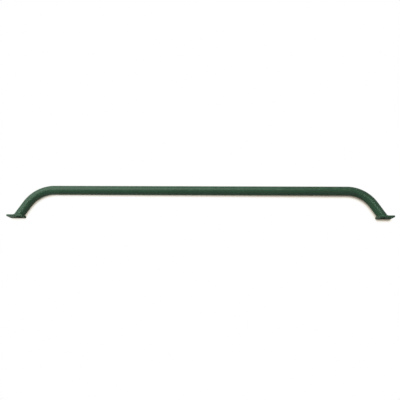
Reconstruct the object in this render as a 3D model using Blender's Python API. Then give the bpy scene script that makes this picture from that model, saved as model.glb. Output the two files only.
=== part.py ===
"""Kip bar: a round steel tube, both ends bent towards the mounting surface and welded to flat foot plates.

Metres, +Z up. The bar lies flat, on the lower edges of its foot plates. X runs along the bar. The mounting
faces of the foot plates face -Y, and the bar stands off on the +Y side. The origin is midway between the feet
and midway between the mounting plane and the far side of the bar, at the height of the plates' lower edges.
"""

import math

import bmesh
import bpy
from mathutils import Matrix, Vector

# Driving dimensions
OVERALL_LENGTH = 1.114  # from the outer end of one foot plate to that of the other
STANDOFF = 0.0805  # from the mounting plane to the centre line of the bar
TUBE_DIAMETER = 0.0267
TUBE_WALL = 0.0029
BEND_RADIUS = 0.087  # of the tube's centre line
BEND_ANGLE = math.radians(58)
PLATE_THICKNESS = 0.0048
PLATE_MARGIN = 0.002525  # of plate on each side of the tube, for the weld bead to lie on
PLATE_CORNER_RADIUS = 0.0025
TONGUE_LENGTH = 0.0147  # by which the plate runs out past the leg, for its screw
CENTRE_HOLE_DIAMETER = 0.0135  # the hole through the plate into the end of the tube
SCREW_HOLE_DIAMETER = 0.0065
SCREW_EDGE_DISTANCE = 0.0070  # from the outer end of the plate to the centre of its screw hole
WELD_LEG = 0.0022
WELD_BULGE = 0.0004  # how far the middle of the bead's face stands proud of a flat fillet
WELD_RUN_OUT = 0.5  # share of the bead's size that is left at its two ends

# Clearances
JOINT_GAP = 0.0003  # between pieces that touch on the real bar
CUT_MARGIN = 0.005  # by which a cutter runs past the piece that it cuts

# The one coat of paint over all the pieces, smoother on the tube than on the plates and the beads
PAINT_GREEN = (0.030, 0.095, 0.060)
TUBE_ROUGHNESS = 0.45
PLATE_ROUGHNESS = 0.5
WELD_ROUGHNESS = 0.55

# How finely round shapes are divided
TUBE_SIDES = 32
BEND_STEPS = 12
HOLE_SIDES = 32
WELD_STEPS = 30
WELD_FACE_STEPS = 4
CORNER_STEPS = 5
SMOOTH_ANGLE = math.radians(35)  # edges sharper than this stay sharp when they are shaded

# Sizes that follow from the ones above
TUBE_RADIUS = TUBE_DIAMETER / 2
BORE_RADIUS = TUBE_RADIUS - TUBE_WALL
PLATE_WIDTH = TUBE_DIAMETER + 2 * PLATE_MARGIN
MIDDLE_HEIGHT = PLATE_WIDTH / 2
MOUNTING_Y = -(STANDOFF + TUBE_RADIUS) / 2
BAR_Y = MOUNTING_Y + STANDOFF
PLATE_MIDDLE_Y = MOUNTING_Y + PLATE_THICKNESS / 2
PLATE_BACK_Y = MOUNTING_Y + PLATE_THICKNESS
TUBE_END_Y = PLATE_BACK_Y + JOINT_GAP
FOOT_HALF_LENGTH = TUBE_RADIUS / math.sin(BEND_ANGLE)  # of the oval that the leg covers on the plate
PLATE_OUTER_X = OVERALL_LENGTH / 2
FOOT_X = PLATE_OUTER_X - TONGUE_LENGTH - FOOT_HALF_LENGTH  # where the leg's axis meets the back of the plate
PLATE_INNER_X = FOOT_X - FOOT_HALF_LENGTH  # the plate ends flush with the heel of the leg
LEG_DIRECTION = Vector((math.cos(BEND_ANGLE), -math.sin(BEND_ANGLE), 0))
BEND_RUN = BEND_RADIUS * math.sin(BEND_ANGLE)
BEND_DROP = BEND_RADIUS * (1 - math.cos(BEND_ANGLE))
LEG_LENGTH = (BAR_Y - BEND_DROP - PLATE_BACK_Y) / math.sin(BEND_ANGLE)
BEND_START_X = FOOT_X - BEND_RUN - LEG_LENGTH * math.cos(BEND_ANGLE)
FOOT_CENTRE = Vector((FOOT_X, PLATE_BACK_Y, MIDDLE_HEIGHT))
BEAD = min(WELD_LEG, PLATE_MARGIN - JOINT_GAP)  # a fillet is no wider than the ledge that it lies on

UP = Vector((0, 0, 1))


def clear_scene():
    for obj in list(bpy.data.objects):
        bpy.data.objects.remove(obj, do_unlink=True)


def painted_steel(name, roughness):
    """The green paint, with the gloss that it has on one kind of piece."""
    material = bpy.data.materials.new(name)
    material.use_nodes = True
    shader = material.node_tree.nodes["Principled BSDF"]
    shader.inputs["Base Color"].default_value = (*PAINT_GREEN, 1)
    shader.inputs["Roughness"].default_value = roughness
    shader.inputs["Metallic"].default_value = 0.0
    return material


def object_from(name, mesh_builder, material):
    """A named object from a bmesh, with outward faces and smooth round sides."""
    bmesh.ops.recalc_face_normals(mesh_builder, faces=mesh_builder.faces)
    mesh = bpy.data.meshes.new(name)
    mesh_builder.to_mesh(mesh)
    mesh_builder.free()
    mesh.shade_smooth()
    mesh.set_sharp_from_angle(angle=SMOOTH_ANGLE)
    if material:
        mesh.materials.append(material)
    obj = bpy.data.objects.new(name, mesh)
    bpy.context.scene.collection.objects.link(obj)
    return obj


def centre_line():
    """Points on the tube's centre line with its direction there, from the left foot to the right one."""
    right = []
    for step in range(BEND_STEPS + 1):
        turned = BEND_ANGLE * step / BEND_STEPS
        across = BEND_START_X + BEND_RADIUS * math.sin(turned)
        off = BAR_Y - BEND_RADIUS * (1 - math.cos(turned))
        direction = Vector((math.cos(turned), -math.sin(turned), 0))
        right.append((Vector((across, off, MIDDLE_HEIGHT)), direction))
    right.append((FOOT_CENTRE.copy(), LEG_DIRECTION.copy()))
    left = [(Vector((-p.x, p.y, p.z)), Vector((d.x, -d.y, 0))) for p, d in reversed(right)]
    return left + right


def ring_points(centre, direction, radius):
    """A circle of points round the centre line, seen along its direction."""
    sideways = UP.cross(direction)
    turns = [2 * math.pi * side / TUBE_SIDES for side in range(TUBE_SIDES)]
    return [centre + radius * (math.cos(t) * sideways + math.sin(t) * UP) for t in turns]


def slide_to_foot(point, direction):
    """Moves a point along the leg to the plane where the tube is cut off above the plate."""
    return point + direction * ((TUBE_END_Y - point.y) / direction.y)


def tube_wall(builder, radius):
    """The rings of vertices of one wall of the tube, its first and last ones cut parallel to the plates."""
    stations = centre_line()
    rings = []
    for number, (centre, direction) in enumerate(stations):
        points = ring_points(centre, direction, radius)
        if number in (0, len(stations) - 1):
            points = [slide_to_foot(p, direction) for p in points]
        rings.append([builder.verts.new(p) for p in points])
    return rings


def bridge(builder, first, second):
    """Quads between two rings with the same number of vertices."""
    count = len(first)
    for i in range(count):
        j = (i + 1) % count
        builder.faces.new((first[i], first[j], second[j], second[i]))


def make_bent_tube(material):
    builder = bmesh.new()
    outer = tube_wall(builder, TUBE_RADIUS)
    inner = tube_wall(builder, BORE_RADIUS)
    for wall in (outer, inner):
        for first, second in zip(wall, wall[1:]):
            bridge(builder, first, second)
    bridge(builder, outer[0], inner[0])
    bridge(builder, outer[-1], inner[-1])
    return object_from("bent_tube", builder, material)


def make_hole_cutter(name, centre_x, diameter):
    """A cylinder along Y through the plate."""
    builder = bmesh.new()
    along_y = Matrix.Rotation(math.pi / 2, 4, "X")
    place = Matrix.Translation((centre_x, PLATE_MIDDLE_Y, MIDDLE_HEIGHT)) @ along_y
    bmesh.ops.create_cone(
        builder,
        cap_ends=True,
        segments=HOLE_SIDES,
        radius1=diameter / 2,
        radius2=diameter / 2,
        depth=PLATE_THICKNESS + 2 * CUT_MARGIN,
        matrix=place,
    )
    cutter = object_from(name, builder, None)
    cutter.hide_render = True
    cutter.display_type = "WIRE"
    return cutter


def make_foot_plate(name, side, material):
    """A flat bar with rounded corners, a hole under the tube and a screw hole in its tongue."""
    builder = bmesh.new()
    length = PLATE_OUTER_X - PLATE_INNER_X
    middle_x = side * (PLATE_OUTER_X + PLATE_INNER_X) / 2
    place = Matrix.Translation((middle_x, PLATE_MIDDLE_Y, MIDDLE_HEIGHT))
    size = Matrix.Diagonal((length, PLATE_THICKNESS, PLATE_WIDTH, 1))
    bmesh.ops.create_cube(builder, size=1, matrix=place @ size)
    corners = [e for e in builder.edges if abs((e.verts[0].co - e.verts[1].co).y) > PLATE_THICKNESS / 2]
    bmesh.ops.bevel(
        builder,
        geom=corners,
        offset=PLATE_CORNER_RADIUS,
        segments=CORNER_STEPS,
        profile=0.5,
        affect="EDGES",
    )
    plate = object_from(name, builder, material)
    holes = {
        "centre_hole": (FOOT_X, CENTRE_HOLE_DIAMETER),
        "screw_hole": (PLATE_OUTER_X - SCREW_EDGE_DISTANCE, SCREW_HOLE_DIAMETER),
    }
    for hole, (centre_x, diameter) in holes.items():
        cut = plate.modifiers.new(hole, "BOOLEAN")
        cut.operation = "DIFFERENCE"
        cut.object = make_hole_cutter(f"{name}_{hole}_cutter", side * centre_x, diameter)
    return plate


def weld_section(turn, shrink):
    """The bead's outline at one turn round the right leg: its root, then its face from leg to plate."""
    sideways = UP.cross(LEG_DIRECTION)
    outward = math.cos(turn) * sideways + math.sin(turn) * UP
    on_leg = FOOT_CENTRE + (TUBE_RADIUS + JOINT_GAP) * outward
    root = slide_to_foot(on_leg, LEG_DIRECTION)
    leg_size = BEAD * shrink
    top = root - LEG_DIRECTION * (leg_size / math.sin(BEND_ANGLE))
    away = Vector((outward.x * math.sin(BEND_ANGLE), 0, outward.z)).normalized()
    toe = root + away * leg_size
    crown_direction = (away + Vector((0, 1, 0))).normalized()
    outline = [root]
    for step in range(WELD_FACE_STEPS + 1):
        share = step / WELD_FACE_STEPS
        bulge = 4 * share * (1 - share)
        outline.append(top.lerp(toe, share) + crown_direction * (WELD_BULGE * shrink * bulge))
    return outline


def make_weld(name, side, material):
    """The bead round the leg. It runs out on both sides before the heel, where the plate ends."""
    heel_turn = math.acos((FOOT_HALF_LENGTH - BEAD) / FOOT_HALF_LENGTH)
    # The bead starts from a turn of 0, on the outer side of the leg, and runs both ways towards the heel.
    last_turn = math.pi - heel_turn
    builder = bmesh.new()
    sections = []
    for step in range(WELD_STEPS + 1):
        share = 2 * step / WELD_STEPS - 1
        shrink = 1 - (1 - WELD_RUN_OUT) * share**6
        points = weld_section(last_turn * share, shrink)
        sections.append([builder.verts.new((side * p.x, p.y, p.z)) for p in points])
    for first, second in zip(sections, sections[1:]):
        bridge(builder, first, second)
    builder.faces.new(sections[0])
    builder.faces.new(sections[-1])
    return object_from(name, builder, material)


def main():
    clear_scene()
    make_bent_tube(painted_steel("tube_paint", TUBE_ROUGHNESS))
    for label, side in (("left", -1), ("right", 1)):
        make_foot_plate(f"{label}_foot_plate", side, painted_steel(f"{label}_plate_paint", PLATE_ROUGHNESS))
        make_weld(f"{label}_weld", side, painted_steel(f"{label}_weld_paint", WELD_ROUGHNESS))


main()
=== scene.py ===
"""The kip bar's looks: a bent tube welded to two foot plates, under one coat of dark green powder paint.

Metres, in the frame's axes: X runs along the bar, +Y from the mounting plane to the bar, and +Z up.
"""

import math

import bmesh
import bpy
from mathutils import Matrix, Vector


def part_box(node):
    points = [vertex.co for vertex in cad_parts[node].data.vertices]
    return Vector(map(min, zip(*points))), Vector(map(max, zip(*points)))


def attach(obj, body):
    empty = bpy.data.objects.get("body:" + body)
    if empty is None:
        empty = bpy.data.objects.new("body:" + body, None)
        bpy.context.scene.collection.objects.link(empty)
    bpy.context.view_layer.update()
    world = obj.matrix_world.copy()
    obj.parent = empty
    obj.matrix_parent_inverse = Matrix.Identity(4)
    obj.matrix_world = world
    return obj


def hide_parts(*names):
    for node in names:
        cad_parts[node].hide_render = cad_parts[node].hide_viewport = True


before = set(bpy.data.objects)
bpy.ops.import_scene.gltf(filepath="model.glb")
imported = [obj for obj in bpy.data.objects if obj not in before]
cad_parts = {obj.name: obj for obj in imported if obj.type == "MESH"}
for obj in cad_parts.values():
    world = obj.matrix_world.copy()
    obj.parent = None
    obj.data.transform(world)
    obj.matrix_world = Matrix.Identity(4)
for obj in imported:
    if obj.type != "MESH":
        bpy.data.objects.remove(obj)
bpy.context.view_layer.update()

MM = 0.001
UP = Vector((0, 0, 1))

# Sizes of the steel that the frame's boxes don't give
TUBE_WALL = 2.9 * MM
BEND_RADIUS = 87 * MM
BEND_ANGLE = math.radians(58)
CORNER_RADIUS = 2.5 * MM
CENTRE_HOLE_RADIUS = 6.75 * MM
SCREW_HOLE_RADIUS = 3.25 * MM
SCREW_EDGE_DISTANCE = 7 * MM

# Small shapes that forming, shearing and welding leave
EDGE_ROUNDING = 0.45 * MM
HOLE_ROUNDING = 0.12 * MM
BEND_FLATTENING = 0.35 * MM  # of the tube's outer side, at the middle of a bend
BEND_RIPPLE = 0.09 * MM  # height of the former's marks on a bend
BEND_RIPPLES = 7
TUBE_WAVINESS = 0.12 * MM
BEAD_RADIUS = 2.35 * MM
BEAD_SPACING = 1.7 * MM
BEAD_VOXEL = 0.28 * MM
DROP_SHAPE = (0.55, 0.92, 1.0)  # of one drop of weld metal: along the bead, off the plate and off the leg
DROP_SHRINK = 0.05  # by which some drops are smaller than others
RUN_OUT_SHRINK = 0.3  # by which the first and last drops are smaller
WORN_EDGE = 1.2 * MM  # width of the strip at a plate's edges where the paint wears

SIDES = (("left", -1), ("right", 1))

# How finely the pieces are divided
TUBE_SIDES = 96
STRAIGHT_STEPS = 84
BEND_STEPS = 44
LEG_STEPS = 14
HOLE_SIDES = 96

# Sizes and places read from the frame
tube_low, tube_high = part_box("bent_tube")
plate_low, plate_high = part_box("right_foot_plate")
tube_radius = (tube_high.z - tube_low.z) / 2
middle_z = (tube_high.z + tube_low.z) / 2
bar_y = tube_high.y - tube_radius
mounting_y = plate_low.y
plate_back_y = plate_high.y
foot_x = plate_low.x + tube_radius / math.sin(BEND_ANGLE)
leg_direction = Vector((math.cos(BEND_ANGLE), -math.sin(BEND_ANGLE), 0))
bend_drop = BEND_RADIUS * (1 - math.cos(BEND_ANGLE))
leg_length = (bar_y - bend_drop - plate_back_y) / math.sin(BEND_ANGLE)
bend_start_x = foot_x - BEND_RADIUS * math.sin(BEND_ANGLE) - leg_length * math.cos(BEND_ANGLE)
bend_centre = Vector((bend_start_x, bar_y - BEND_RADIUS, middle_z))
foot_centre = Vector((foot_x, plate_back_y, middle_z))


# Modelling by hand


def edit(piece, mode="VERT"):
    """Opens one piece in edit mode, with nothing selected."""
    bpy.ops.object.select_all(action="DESELECT")
    bpy.context.view_layer.objects.active = piece
    piece.select_set(True)
    bpy.ops.object.mode_set(mode="EDIT")
    bpy.ops.mesh.select_mode(type=mode)
    bpy.ops.mesh.select_all(action="DESELECT")


def leave_edit():
    bpy.ops.object.mode_set(mode="OBJECT")


def choose(piece, kind, wanted):
    """Selects the vertices, edges or faces, as kind says, that wanted(element) is true for."""
    mesh = bmesh.from_edit_mesh(piece.data)
    for element in getattr(mesh, kind):
        element.select_set(bool(wanted(element)))
    mesh.select_flush_mode()
    bmesh.update_edit_mesh(piece.data)


def new_piece(name):
    """The primitive that was just added, under its own name, with its place in its mesh."""
    piece = bpy.context.active_object
    piece.name = name
    piece.data.name = name
    bpy.ops.object.select_all(action="DESELECT")
    piece.select_set(True)
    bpy.ops.object.transform_apply(location=True, rotation=True, scale=True)
    return piece


def apply_modifier(piece, kind, **settings):
    modifier = piece.modifiers.new(kind.lower(), kind)
    for setting, value in settings.items():
        setattr(modifier, setting, value)
    bpy.ops.object.select_all(action="DESELECT")
    bpy.context.view_layer.objects.active = piece
    bpy.ops.object.modifier_apply(modifier=modifier.name)


def shade_by_angle(piece, degrees=35):
    bpy.ops.object.select_all(action="DESELECT")
    bpy.context.view_layer.objects.active = piece
    piece.select_set(True)
    bpy.ops.object.shade_smooth_by_angle(angle=math.radians(degrees))


def extrude(step, count):
    for _ in range(count):
        bpy.ops.mesh.extrude_region_move(TRANSFORM_OT_translate={"value": tuple(step)})


# The bent tube


def bend_turn(point):
    """How far round the right bend a point lies, as an angle from the start of the bend."""
    return math.atan2(point.x - bend_centre.x, point.y - bend_centre.y)


def mark_bend(point):
    """Where the former leaves a point of the right bend: flattened outside, and faintly rippled all round."""
    turn = bend_turn(point)
    if point.x < bend_centre.x or not 0 < turn < BEND_ANGLE:
        return point
    along = turn / BEND_ANGLE
    swell = math.sin(math.pi * along)
    across = Vector((point.x - bend_centre.x, point.y - bend_centre.y, 0))
    outside = max(0, (across.length - BEND_RADIUS) / tube_radius)
    ripple = 0.5 - 0.5 * math.cos(2 * math.pi * BEND_RIPPLES * along)
    pulled = BEND_FLATTENING * outside**2 * swell
    centre = bend_centre + across.normalized() * BEND_RADIUS
    inward = (centre - point).normalized()
    return point - across.normalized() * pulled + inward * (BEND_RIPPLE * ripple * swell)


def make_tube():
    """Half the tube, drawn out from a ring at the middle of the bar, then mirrored and given its wall."""
    bpy.ops.mesh.primitive_circle_add(
        vertices=TUBE_SIDES, radius=tube_radius, location=(0, bar_y, middle_z), rotation=(0, math.pi / 2, 0)
    )
    tube = new_piece("tube")
    edit(tube)
    bpy.ops.mesh.select_all(action="SELECT")
    extrude(Vector((bend_start_x / STRAIGHT_STEPS, 0, 0)), STRAIGHT_STEPS)
    bpy.ops.mesh.spin(steps=BEND_STEPS, angle=BEND_ANGLE, center=bend_centre, axis=UP)
    past_plate = leg_length + 2 * tube_radius
    extrude(leg_direction * (past_plate / LEG_STEPS), LEG_STEPS)
    bpy.ops.mesh.select_all(action="SELECT")
    bpy.ops.mesh.remove_doubles(threshold=0.001 * MM)
    bpy.ops.mesh.normals_make_consistent(inside=False)
    leave_edit()
    for vertex in tube.data.vertices:
        vertex.co = mark_bend(vertex.co.copy())
    apply_modifier(tube, "MIRROR", use_axis=(True, False, False), merge_threshold=0.001 * MM)
    waviness = bpy.data.textures.new("tube_waviness", "CLOUDS")
    waviness.noise_scale = 22 * MM
    apply_modifier(
        tube, "DISPLACE", texture=waviness, texture_coords="LOCAL", strength=TUBE_WAVINESS, mid_level=1
    )
    tube.data.materials.append(tube_paint)
    tube.data.materials.append(bore_steel_and_painted_shade)
    apply_modifier(tube, "SOLIDIFY", thickness=TUBE_WALL, offset=-1, use_rim=False, material_offset=1)
    edit(tube, "EDGE")
    bpy.ops.mesh.select_all(action="SELECT")
    bpy.ops.mesh.bisect(plane_co=(0, plate_back_y, 0), plane_no=(0, -1, 0), clear_outer=True)
    for side in (-1, 1):
        choose(tube, "edges", lambda edge: edge.is_boundary and side * edge.verts[0].co.x > 0)
        bpy.ops.mesh.bridge_edge_loops()
    leave_edit()
    shade_by_angle(tube)
    return tube


# The foot plates


def bore_hole(plate, centre_x, radius):
    """Drills the plate through along Y."""
    bpy.ops.object.select_all(action="DESELECT")
    bpy.ops.mesh.primitive_cylinder_add(
        vertices=HOLE_SIDES,
        radius=radius,
        depth=3 * (plate_back_y - mounting_y),
        location=(centre_x, (plate_back_y + mounting_y) / 2, middle_z),
        rotation=(math.pi / 2, 0, 0),
    )
    drill = bpy.context.active_object
    apply_modifier(plate, "BOOLEAN", operation="DIFFERENCE", object=drill)
    bpy.data.objects.remove(drill)


def in_hole(face, hole_x):
    """True for a face on the wall of the centre hole."""
    middle = face.calc_center_median()
    reach = math.hypot(middle.x - hole_x, middle.z - middle_z)
    return reach < CENTRE_HOLE_RADIUS + HOLE_ROUNDING and abs(face.normal.y) < 0.9


def mark_edges(plate, low, high):
    """Stores 1 on a plate's rounded outer edges and 0 elsewhere, for the wear of the paint."""
    edge = plate.data.attributes.new("edge", "FLOAT", "POINT")
    for vertex, mark in zip(plate.data.vertices, edge.data):
        point = vertex.co
        to_side = min(point.x - low.x, high.x - point.x, point.z - low.z, high.z - point.z)
        leans = 0.15 < abs(vertex.normal.y) < 0.96
        mark.value = 1.0 if to_side < WORN_EDGE and leans else 0.0


def round_edges(plate, width):
    """Rounds the edges that are still sharp."""
    sharp = math.radians(50)
    apply_modifier(plate, "BEVEL", width=width, segments=3, limit_method="ANGLE", angle_limit=sharp)


def make_plate(label, side):
    low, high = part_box(f"{label}_foot_plate")
    bpy.ops.object.select_all(action="DESELECT")
    bpy.ops.mesh.primitive_cube_add(size=1, location=(low + high) / 2, scale=high - low)
    plate = new_piece(f"{label}_plate")
    edit(plate, "EDGE")
    choose(plate, "edges", lambda edge: abs(edge.verts[0].co.y - edge.verts[1].co.y) > MM)
    bpy.ops.mesh.bevel(offset=CORNER_RADIUS, segments=8, affect="EDGES")
    leave_edit()
    round_edges(plate, EDGE_ROUNDING)
    bore_hole(plate, side * foot_x, CENTRE_HOLE_RADIUS)
    bore_hole(plate, side * (plate_high.x - SCREW_EDGE_DISTANCE), SCREW_HOLE_RADIUS)
    round_edges(plate, HOLE_ROUNDING)
    plate.data.materials.append(plate_paint)
    plate.data.materials.append(bore_steel_and_painted_shade)
    edit(plate, "FACE")
    # The centre hole's wall gets the near-black bore finish, which is partly painted shade.
    choose(plate, "faces", lambda face: in_hole(face, side * foot_x))
    plate.active_material_index = 1
    bpy.ops.object.material_slot_assign()
    bpy.ops.mesh.select_all(action="SELECT")
    bpy.ops.mesh.quads_convert_to_tris()
    leave_edit()
    shade_by_angle(plate, 30)
    mark_edges(plate, low, high)
    return plate


# The weld beads


def bead_place(turn):
    """The matrix of one ripple of the right bead, at a turn round the leg from its outer side."""
    sideways = UP.cross(leg_direction)
    outward = math.cos(turn) * sideways + math.sin(turn) * UP
    on_leg = foot_centre + tube_radius * outward
    root = on_leg + leg_direction * ((plate_back_y - on_leg.y) / leg_direction.y)
    around = -math.sin(turn) * sideways / math.sin(BEND_ANGLE) + math.cos(turn) * UP
    tangent = Vector((around.x, 0, around.z)).normalized()
    away = Vector((0, 1, 0)).cross(tangent).normalized()
    turned = Matrix((tangent, Vector((0, 1, 0)), away)).transposed().to_4x4()
    return Matrix.Translation(root) @ turned


def oval_step(turn):
    """How far the foot's oval runs per radian of turn."""
    return math.hypot(tube_radius * math.cos(turn), tube_radius * math.sin(turn) / math.sin(BEND_ANGLE))


def make_bead(label, side):
    """Flattened drops of weld metal, one behind the other round the leg, run together into one bead."""
    bpy.ops.object.select_all(action="DESELECT")
    bpy.ops.mesh.primitive_uv_sphere_add(segments=24, ring_count=14, radius=BEAD_RADIUS)
    drop = new_piece(f"{label}_bead")
    edit(drop)
    bpy.ops.mesh.select_all(action="SELECT")
    bpy.ops.transform.resize(value=DROP_SHAPE)
    leave_edit()
    shape = drop.data.copy()
    last_turn = math.pi - math.acos(1 - BEAD_RADIUS / (tube_radius / math.sin(BEND_ANGLE)))
    drops = []
    turn = -last_turn
    while turn < last_turn:
        copy = drop if not drops else bpy.data.objects.new("drop", shape.copy())
        if drops:
            bpy.context.scene.collection.objects.link(copy)
        uneven = DROP_SHRINK * (0.5 + 0.5 * math.sin(23 * turn))
        run_out = RUN_OUT_SHRINK * abs(turn / last_turn) ** 12
        copy.matrix_world = bead_place(turn) @ Matrix.Scale(1 - uneven - run_out, 4)
        drops.append(copy)
        turn += BEAD_SPACING / oval_step(turn)
    for copy in drops:
        copy.select_set(True)
    bpy.context.view_layer.objects.active = drop
    bpy.ops.object.join()
    bpy.ops.object.transform_apply(location=True, rotation=True, scale=True)
    apply_modifier(drop, "REMESH", mode="VOXEL", voxel_size=BEAD_VOXEL)
    apply_modifier(drop, "SMOOTH", factor=0.5, iterations=3)
    if side < 0:
        edit(drop)
        bpy.ops.mesh.select_all(action="SELECT")
        bpy.ops.transform.mirror(constraint_axis=(True, False, False), center_override=(0, 0, 0))
        bpy.ops.mesh.normals_make_consistent(inside=False)
        leave_edit()
    drop.data.materials.clear()
    drop.data.materials.append(bead_paint)
    shade_by_angle(drop, 60)
    return drop


# Finishes


class Value:
    """A socket's value over the surface, which Python's operators calculate with."""

    def __init__(self, finish, socket):
        self.finish = finish
        self.socket = socket

    def calculate(self, operation, *numbers):
        return self.finish.add("ShaderNodeMath", "Value", {"operation": operation}, dict(enumerate(numbers)))

    def __add__(self, other):
        return self.calculate("ADD", self, other)

    def __radd__(self, other):
        return self.calculate("ADD", other, self)

    def __sub__(self, other):
        return self.calculate("SUBTRACT", self, other)

    def __rsub__(self, other):
        return self.calculate("SUBTRACT", other, self)

    def __mul__(self, other):
        return self.calculate("MULTIPLY", self, other)

    def __rmul__(self, other):
        return self.calculate("MULTIPLY", other, self)

    def most(self, other):
        return self.calculate("MAXIMUM", self, other)


class Finish:
    """One material, or the nodes of a tree that is given, whose nodes are added one by one."""

    def __init__(self, name, tree=None):
        self.material = None
        self.tree = tree
        if tree is None:
            self.material = bpy.data.materials.new(name)
            self.material.use_nodes = True
            self.tree = self.material.node_tree
        self.tree.nodes.clear()

    def add(self, kind, output, settings=None, sockets=None):
        """Adds a node with its settings and its sockets' values or links, and returns one of its outputs."""
        node = self.tree.nodes.new(kind)
        for setting, value in (settings or {}).items():
            setattr(node, setting, value)
        for key, value in (sockets or {}).items():
            if isinstance(value, Value):
                self.tree.links.new(value.socket, node.inputs[key])
            else:
                node.inputs[key].default_value = value
        return Value(self, node.outputs[output]) if output is not None else node

    def place(self, scale=(1, 1, 1), turn=(0, 0, 0)):
        """The point on the object, stretched and turned for a pattern."""
        point = self.add("ShaderNodeTexCoord", "Object")
        sockets = {"Vector": point, "Scale": scale, "Rotation": turn}
        return self.add("ShaderNodeMapping", "Vector", None, sockets)

    def noise(self, size, detail=2.0, rough=0.5, place=None):
        """Cloudy noise from 0 to 1, whose blotches are about size across."""
        sockets = {"Vector": place or self.place(), "Scale": 1 / size, "Detail": detail, "Roughness": rough}
        return self.add("ShaderNodeTexNoise", 0, None, sockets)

    def rise(self, value, start, end):
        """0 below start, 1 above end, and smooth between them."""
        sockets = {"Value": value, "From Min": start, "From Max": end}
        return self.add("ShaderNodeMapRange", "Result", {"interpolation_type": "SMOOTHSTEP"}, sockets)

    def blend(self, share, first, second):
        """The first colour where share is 0 and the second where it is 1."""
        return self.add("ShaderNodeMix", 2, {"data_type": "RGBA"}, {0: share, 6: first, 7: second})

    def bump(self, height, distance, strength=1.0, under=None):
        sockets = {"Height": height, "Distance": distance, "Strength": strength}
        if under:
            sockets["Normal"] = under
        return self.add("ShaderNodeBump", "Normal", None, sockets)

    def surface(self, shader):
        self.add("ShaderNodeOutputMaterial", None, None, {"Surface": shader})
        return self.material


def colour(red, green, blue):
    return (red, green, blue, 1.0)


PAINT = colour(0.0205, 0.092, 0.038)
PAINT_THIN = colour(0.033, 0.122, 0.057)
PAINT_THICK = colour(0.0145, 0.072, 0.0275)
SCUFF = colour(0.13, 0.20, 0.15)
DUST = colour(0.20, 0.20, 0.165)
PRIMER = colour(0.11, 0.10, 0.085)
RUST = colour(0.105, 0.043, 0.018)
# Near black for the bare steel inside the tube and the centre hole: partly the steel's own scale, partly
# painted shade in the hole.
DARK_STEEL = colour(0.012, 0.012, 0.010)
DARK_RUST = colour(0.045, 0.02, 0.01)
PAINT_IOR = 1.4


def powder_coat(name, gloss, chips, edges=False):
    """Satin powder coat: orange peel, changes of depth, faint scuffs, and chips down to primer and rust."""
    coat = Finish(name)
    depth = coat.noise(60 * MM, 3)
    mottling = coat.noise(9 * MM, 4, 0.6)
    speckle = coat.noise(0.7 * MM, 2)
    paint = coat.blend(coat.rise(depth, 0.35, 0.65), PAINT_THICK, PAINT)
    paint = coat.blend(coat.rise(mottling, 0.42, 0.72) * 0.6, paint, PAINT_THIN)
    paint = coat.blend(coat.rise(speckle, 0.55, 0.85) * 0.4, paint, PAINT_THIN)

    along = coat.noise(1.1 * MM, 3, 0.6, coat.place((0.04, 1, 1)))
    rubbed = coat.rise(coat.noise(40 * MM, 2), 0.50, 0.64)
    scuffs = coat.rise(along, 0.60, 0.74) * rubbed
    paint = coat.blend(scuffs * 0.4, paint, SCUFF)

    drifts = coat.rise(coat.noise(80 * MM, 1), 0.4, 0.65)
    dust = coat.rise(coat.noise(2.4 * MM, 4, 0.7), 0.48, 0.8) * drifts
    paint = coat.blend(dust * 0.14, paint, DUST)

    knocks = coat.rise(coat.noise(30 * MM, 2), 0.54, 0.66)
    spots = coat.noise(2.8 * MM, 3, 0.5)
    bare = coat.rise(spots, 0.71 - chips, 0.73 - chips) * knocks
    if edges:
        on_edge = coat.add("ShaderNodeAttribute", "Fac", {"attribute_name": "edge"})
        patches = coat.noise(4.5 * MM, 4, 0.65)
        paint = coat.blend(on_edge * coat.rise(patches, 0.35, 0.6) * 0.35, paint, SCUFF)
        bare = bare.most(on_edge * coat.rise(patches, 0.60, 0.66))
    metal = coat.blend(coat.rise(coat.noise(1.2 * MM, 3), 0.45, 0.6), RUST, PRIMER)
    paint = coat.blend(bare, paint, metal)

    peel = coat.noise(1.6 * MM, 1.5)
    sag = coat.noise(16 * MM, 1)
    grit = coat.rise(coat.noise(1.1 * MM, 1), 0.70, 0.78)
    normal = coat.bump(sag, 0.35 * MM)
    normal = coat.bump(peel, 0.09 * MM, 1, normal)
    normal = coat.bump(grit, 0.06 * MM, 1, normal)
    normal = coat.bump(1 - bare, 0.09 * MM, 1, normal)

    rough = gloss + 0.14 * (mottling - 0.5) + 0.14 * scuffs + 0.18 * dust + 0.3 * bare
    shader = coat.add(
        "ShaderNodeBsdfPrincipled",
        "BSDF",
        None,
        {"Base Color": paint, "Roughness": rough, "Normal": normal, "IOR": PAINT_IOR},
    )
    return coat.surface(shader)


def bore_scale_and_painted_shade(name):
    """Unpainted steel inside the tube and the centre hole: near black scale, with a little rust and little
    shine, partly painted shade that keeps the hole dark.
    """
    steel = Finish(name)
    patches = steel.noise(3 * MM, 4, 0.65)
    tint = steel.blend(steel.rise(patches, 0.55, 0.75) * 0.5, DARK_STEEL, DARK_RUST)
    rough = 0.8 + 0.3 * (patches - 0.5)
    normal = steel.bump(patches, 0.05 * MM)
    shader = steel.add(
        "ShaderNodeBsdfPrincipled",
        "BSDF",
        None,
        {"Base Color": tint, "Roughness": rough, "Normal": normal, "Specular IOR Level": 0.1},
    )
    return steel.surface(shader)


# Stage, light and camera

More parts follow.
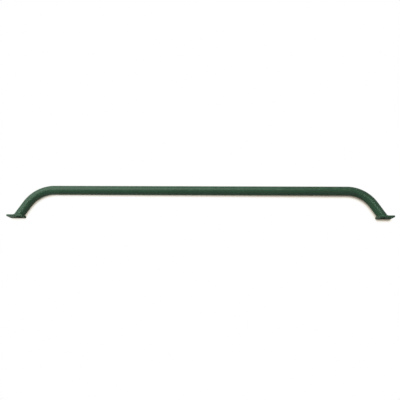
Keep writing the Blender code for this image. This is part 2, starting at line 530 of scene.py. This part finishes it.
FLOOR_SIZE = 14
FLOOR_AS_LIGHT = colour(0.68, 0.63, 0.55)
FLOOR_IN_GLOSS = colour(1.55, 1.50, 1.42)
# The floor's shadow is painted shadow: ambient occlusion darkens the floor's emission colour where the bar is
# near.
SHADOW = colour(0.14, 0.115, 0.08)
SHADOW_RIM = colour(0.88, 0.82, 0.70)  # the warm colour that the painted shadow fades through
SHADOW_REACH = 14 * MM
SHADOW_ENDS = (0.28, 0.54)  # the openness of the floor where the shadow is full, and where it has gone
RIM_ENDS = (0.40, 0.70)  # the same for its warm rim
SHADOW_FROM = (-0.28, 0.60, 0.77)  # the side that the painted shadow is cast from
SHADOW_FADE = 0.2  # how much stronger the painted light on the floor is at the left end, and weaker at the right
SKY = colour(0.05, 0.053, 0.056)
WHITE = colour(1, 1, 1)
KEY_PLACE = Vector((-1.03, 1.10, 1.48))
KEY_SIZE = 2.6
KEY_POWER = 39.5
FILL_PLACE = Vector((0.29, 0.96, 1.37))
FILL_SIZE = 0.8
FILL_POWER = 5.5
LEG_LAMP_PLACE = Vector((0.515, -0.005, 0.42))  # over the right leg, with a mirrored one over the left leg
LEG_LAMP_SIZE = 0.15
LEG_LAMP_POWER = 0.01
LEG_LAMP_SPREAD = math.radians(20)


def rays(finish, *ways):
    """1 for the named ways of reaching a surface, such as Camera, and 0 for the others."""
    path = finish.add("ShaderNodeLightPath", None)
    found = [Value(finish, path.outputs[f"Is {way} Ray"]) for way in ways]
    return sum(found[1:], found[0])


def make_floor():
    """A white sweep, on which only the deep part of the bar's shadow shows, as painted shadow in its
    emission.
    """
    bpy.ops.object.select_all(action="DESELECT")
    bpy.ops.mesh.primitive_plane_add(size=FLOOR_SIZE, location=(0, 0, 0))
    floor = new_piece("floor")
    sweep = Finish("white_sweep")
    as_light = sweep.add("ShaderNodeBsdfDiffuse", "BSDF", None, {"Color": FLOOR_AS_LIGHT})
    in_gloss = sweep.add("ShaderNodeBsdfDiffuse", "BSDF", None, {"Color": FLOOR_IN_GLOSS})
    from_behind = sweep.add("ShaderNodeCombineXYZ", "Vector", None, dict(enumerate(SHADOW_FROM)))
    open_sky = sweep.add(
        "ShaderNodeAmbientOcclusion", "AO", {"samples": 16}, {"Distance": SHADOW_REACH, "Normal": from_behind}
    )
    point = sweep.add("ShaderNodeTexCoord", "Object")
    across = sweep.add("ShaderNodeSeparateXYZ", "X", None, {"Vector": point})
    length = {"From Min": tube_low.x, "From Max": tube_high.x}
    strength = {"To Min": 1 + SHADOW_FADE, "To Max": 1 - SHADOW_FADE}
    fade = sweep.add("ShaderNodeMapRange", "Result", None, {"Value": across, **length, **strength})
    # Painted shadow and painted fall of light: openness times a left-to-right fade picks the floor's emission
    # colour.
    painted_light = open_sky * fade
    rim = sweep.blend(sweep.rise(painted_light, *RIM_ENDS), SHADOW_RIM, WHITE)
    shade = sweep.blend(sweep.rise(painted_light, *SHADOW_ENDS), SHADOW, rim)
    as_seen = sweep.add("ShaderNodeEmission", "Emission", None, {"Color": shade})
    glossy = rays(sweep, "Glossy", "Transmission")
    unseen = sweep.add("ShaderNodeMixShader", "Shader", None, {0: glossy, 1: as_light, 2: in_gloss})
    camera = rays(sweep, "Camera")
    floor.data.materials.append(
        sweep.surface(sweep.add("ShaderNodeMixShader", "Shader", None, {0: camera, 1: unseen, 2: as_seen}))
    )


def make_world():
    """A faint even light from all round, which looks white."""
    world = bpy.data.worlds.new("studio")
    bpy.context.scene.world = world
    world.use_nodes = True
    studio = Finish(None, world.node_tree)
    soft = studio.add("ShaderNodeBackground", "Background", None, {"Color": SKY})
    white = studio.add("ShaderNodeBackground", "Background", None, {"Color": WHITE})
    looked_at = rays(studio, "Camera", "Glossy", "Transmission")
    mixed = studio.add("ShaderNodeMixShader", "Shader", None, {0: looked_at, 1: soft, 2: white})
    studio.add("ShaderNodeOutputWorld", None, None, {"Surface": mixed})


def make_lamp(name, place, size, power, aim=Vector(), spread=math.pi, only_shine=False):
    """A round soft lamp that faces the aim, and that may add a highlight and no other light."""
    lamp = bpy.data.lights.new(name, "AREA")
    lamp.shape = "DISK"
    lamp.size = size
    lamp.energy = power
    lamp.spread = spread
    holder = bpy.data.objects.new(name, lamp)
    holder.location = place
    holder.rotation_euler = (aim - place).to_track_quat("-Z", "Y").to_euler()
    holder.visible_camera = False
    holder.visible_diffuse = not only_shine
    bpy.context.scene.collection.objects.link(holder)


CAMERA_TILT = math.radians(14.2)  # from straight above, towards the side of the feet
CAMERA_ROLL = math.radians(0.17)
CAMERA_DISTANCE = 1.249
CAMERA_LENS = 38.43
CAMERA_AIM = Vector((-2.15 * MM, bar_y - 28.1 * MM, middle_z))


def make_camera():
    """Looks down on the bar, tilted so that the mounting faces of the feet just show."""
    forward = Vector((0, math.sin(CAMERA_TILT), -math.cos(CAMERA_TILT)))
    level = Vector((1, 0, 0))
    above = level.cross(forward)
    right = math.cos(CAMERA_ROLL) * level + math.sin(CAMERA_ROLL) * above
    top = right.cross(forward)
    data = bpy.data.cameras.new("camera")
    data.lens = CAMERA_LENS
    data.sensor_width = 36
    data.clip_start = 0.05
    camera = bpy.data.objects.new("camera", data)
    turned = Matrix((right, top, -forward)).transposed().to_4x4()
    camera.matrix_world = Matrix.Translation(CAMERA_AIM - forward * CAMERA_DISTANCE) @ turned
    bpy.context.scene.collection.objects.link(camera)
    bpy.context.scene.camera = camera


# Putting it together


make_camera()
make_lamp("key", KEY_PLACE, KEY_SIZE, KEY_POWER)
make_lamp("fill", FILL_PLACE, FILL_SIZE, FILL_POWER, only_shine=True)
for label, side in SIDES:
    over_leg = Vector((side * LEG_LAMP_PLACE.x, LEG_LAMP_PLACE.y, LEG_LAMP_PLACE.z))
    under_lamp = Vector((over_leg.x, over_leg.y, 0))
    make_lamp(
        f"{label}_leg", over_leg, LEG_LAMP_SIZE, LEG_LAMP_POWER, under_lamp, LEG_LAMP_SPREAD, only_shine=True
    )
make_world()
make_floor()

tube_paint = powder_coat("tube_powder_coat", 0.38, 0.0)
plate_paint = powder_coat("plate_powder_coat", 0.42, 0.05, edges=True)
bead_paint = powder_coat("bead_powder_coat", 0.44, 0.02)
bore_steel_and_painted_shade = bore_scale_and_painted_shade("bore_scale_and_painted_shade")

tube = make_tube()
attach(tube, "root")
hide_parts("bent_tube")
for label, side in SIDES:
    plate = make_plate(label, side)
    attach(plate, "root")
    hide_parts(f"{label}_foot_plate")
    bead = make_bead(label, side)
    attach(bead, "root")
    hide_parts(f"{label}_weld")

bpy.context.scene.view_settings.view_transform = "Standard"
